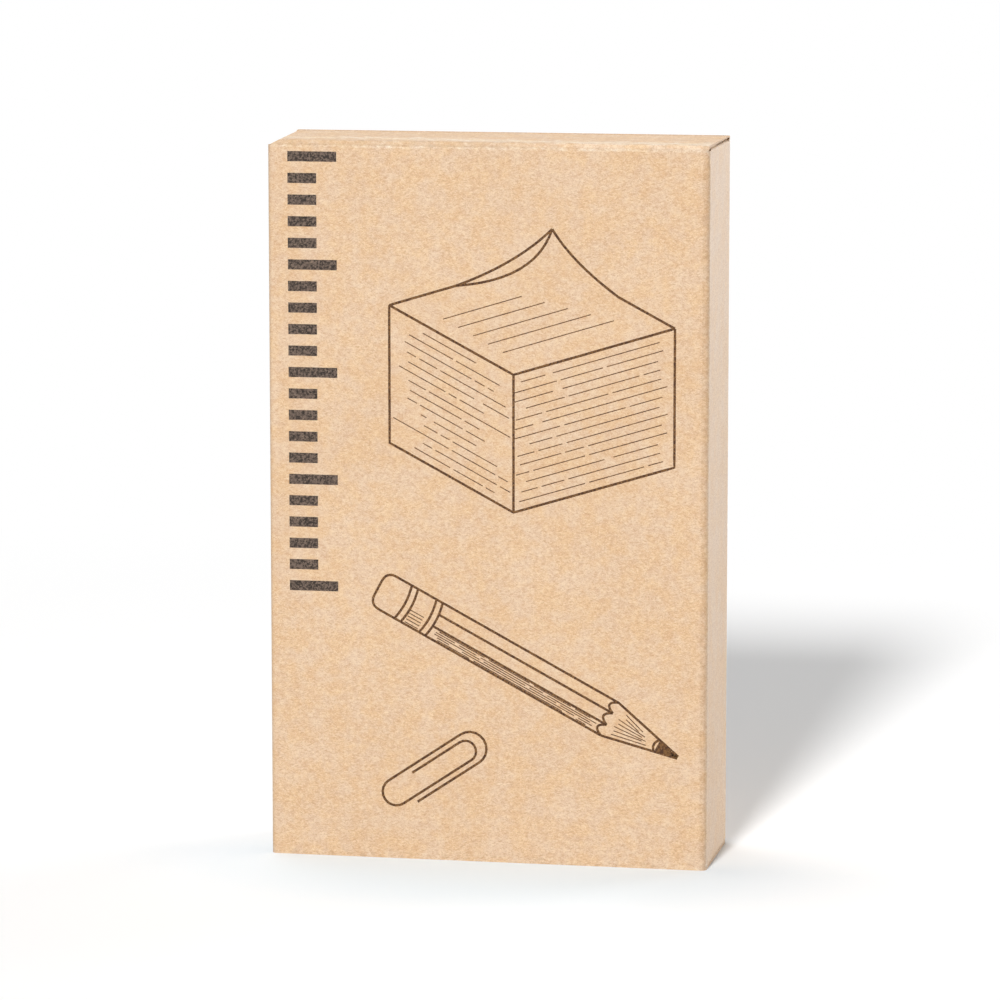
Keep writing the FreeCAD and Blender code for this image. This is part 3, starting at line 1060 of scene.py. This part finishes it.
def addFloor():
    disc = bmesh.new()
    bmesh.ops.create_circle(disc, cap_ends=True, segments=96, radius=floor["radius"])
    mesh = meshFrom("floor", disc)
    piece = addObject("floor", mesh)
    finish = bpy.data.materials.new("floor_white")
    finish.use_nodes = True
    tree = finish.node_tree
    tree.nodes.remove(tree.nodes["Principled BSDF"])
    place = addNode(tree, "ShaderNodeTexCoord").outputs["Object"]
    offset = vectorNode(tree, "SUBTRACT", place, floor["footShadeCentre"])
    near = vectorNode(tree, "LENGTH", vectorNode(tree, "DIVIDE", offset, floor["footShadeReach"]))
    # The floor's colour, with the painted shade round the carton's foot
    white = mixColour(tree, fadeBetween(tree, near, 0.25, 1, 1, 0), floor["white"], floor["footShade"])
    paint = [addNode(tree, "ShaderNodeBsdfDiffuse", {"Color": tone}).outputs[0]
             for tone in (white, floor["bounce"])]
    glow = [addNode(tree, "ShaderNodeEmission", {"Strength": level}).outputs[0]
            for level in (floor["lift"], 1.0)]
    lit = addNode(tree, "ShaderNodeAddShader", {0: paint[0], 1: glow[0]}).outputs[0]
    far = fadeBetween(tree, vectorNode(tree, "LENGTH", place), floor["fadeStart"], floor["fadeEnd"], 0, 1)
    shown = addNode(tree, "ShaderNodeMixShader", {0: far, 1: lit, 2: glow[1]}).outputs[0]
    seen = seenDirectly(tree)
    whole = addNode(tree, "ShaderNodeMixShader", {0: seen, 1: paint[1], 2: shown}).outputs[0]
    tree.links.new(whole, tree.nodes["Material Output"].inputs[0])
    mesh.materials.append(finish)


def addWorld(level):
    world = bpy.data.worlds.new("studio")
    scene.world = world
    world.use_nodes = True
    tree = world.node_tree
    tree.nodes.clear()
    skies = [addNode(tree, "ShaderNodeBackground", {"Color": (1, 1, 1, 1), "Strength": strength}).outputs[0]
             for strength in (level, 1.0)]
    seen = seenDirectly(tree)
    whole = addNode(tree, "ShaderNodeMixShader", {0: seen, 1: skies[0], 2: skies[1]}).outputs[0]
    output = addNode(tree, "ShaderNodeOutputWorld", {0: whole})
    output.is_active_output = True


skyLevel = 0.10
lamps = {
    "key": {"turn": -3.4, "rise": 30.5, "reach": 9.0, "size": (1.12, 1.65), "power": 815.0},
    "top": {"turn": -145, "rise": 79, "reach": 2.5, "size": (0.95, 0.95), "power": 22.0},
    "right": {"turn": 138, "rise": 5, "reach": 2.2, "size": (1.2, 0.5), "power": 33.0},
}


def addLamp(name, turn, rise, reach, size, power):
    lamp = bpy.data.lights.new(name, "AREA")
    lamp.shape, lamp.size, lamp.size_y, lamp.energy = "ELLIPSE", *size, power
    turn, rise = math.radians(turn), math.radians(rise)
    level = math.cos(rise)
    outward = Vector((math.sin(turn) * level, -math.cos(turn) * level, math.sin(rise)))
    stand = addObject(name + "_lamp", lamp)
    stand.location = up * tall / 3 + outward * reach
    stand.rotation_mode = "QUATERNION"
    stand.rotation_quaternion = (-outward).to_track_quat("-Z", "Y")


view = {
    "turn": math.radians(10.911),
    "drop": math.radians(8.408),
    "reach": 1.13368,
    "offset": (-0.00002, -0.0009),
    "lens": 180.0,
    "sensor": 36.0,
    "clip": (0.05, 50),
}


def addCamera():
    turn, drop = view["turn"], view["drop"]
    level = math.cos(drop)
    forward = Vector((-math.sin(turn) * level, math.cos(turn) * level, -math.sin(drop)))
    right = Vector((math.cos(turn), math.sin(turn), 0))
    upright = right.cross(forward)
    lens = bpy.data.cameras.new("photo_view")
    lens.lens, lens.sensor_width, lens.sensor_fit = view["lens"], view["sensor"], "HORIZONTAL"
    lens.clip_start, lens.clip_end = view["clip"]
    camera = addObject("photo_view", lens)
    shift = right * view["offset"][0] + upright * view["offset"][1]
    place = up * tall / 2 - forward * view["reach"] + shift
    axes = Matrix((right, upright, -forward)).transposed().to_4x4()
    camera.matrix_world = Matrix.Translation(place) @ axes
    scene.camera = camera


addFloor()
addWorld(skyLevel)
for name, lamp in lamps.items():
    addLamp(name, **lamp)
addCamera()
print("floor, light and camera made")
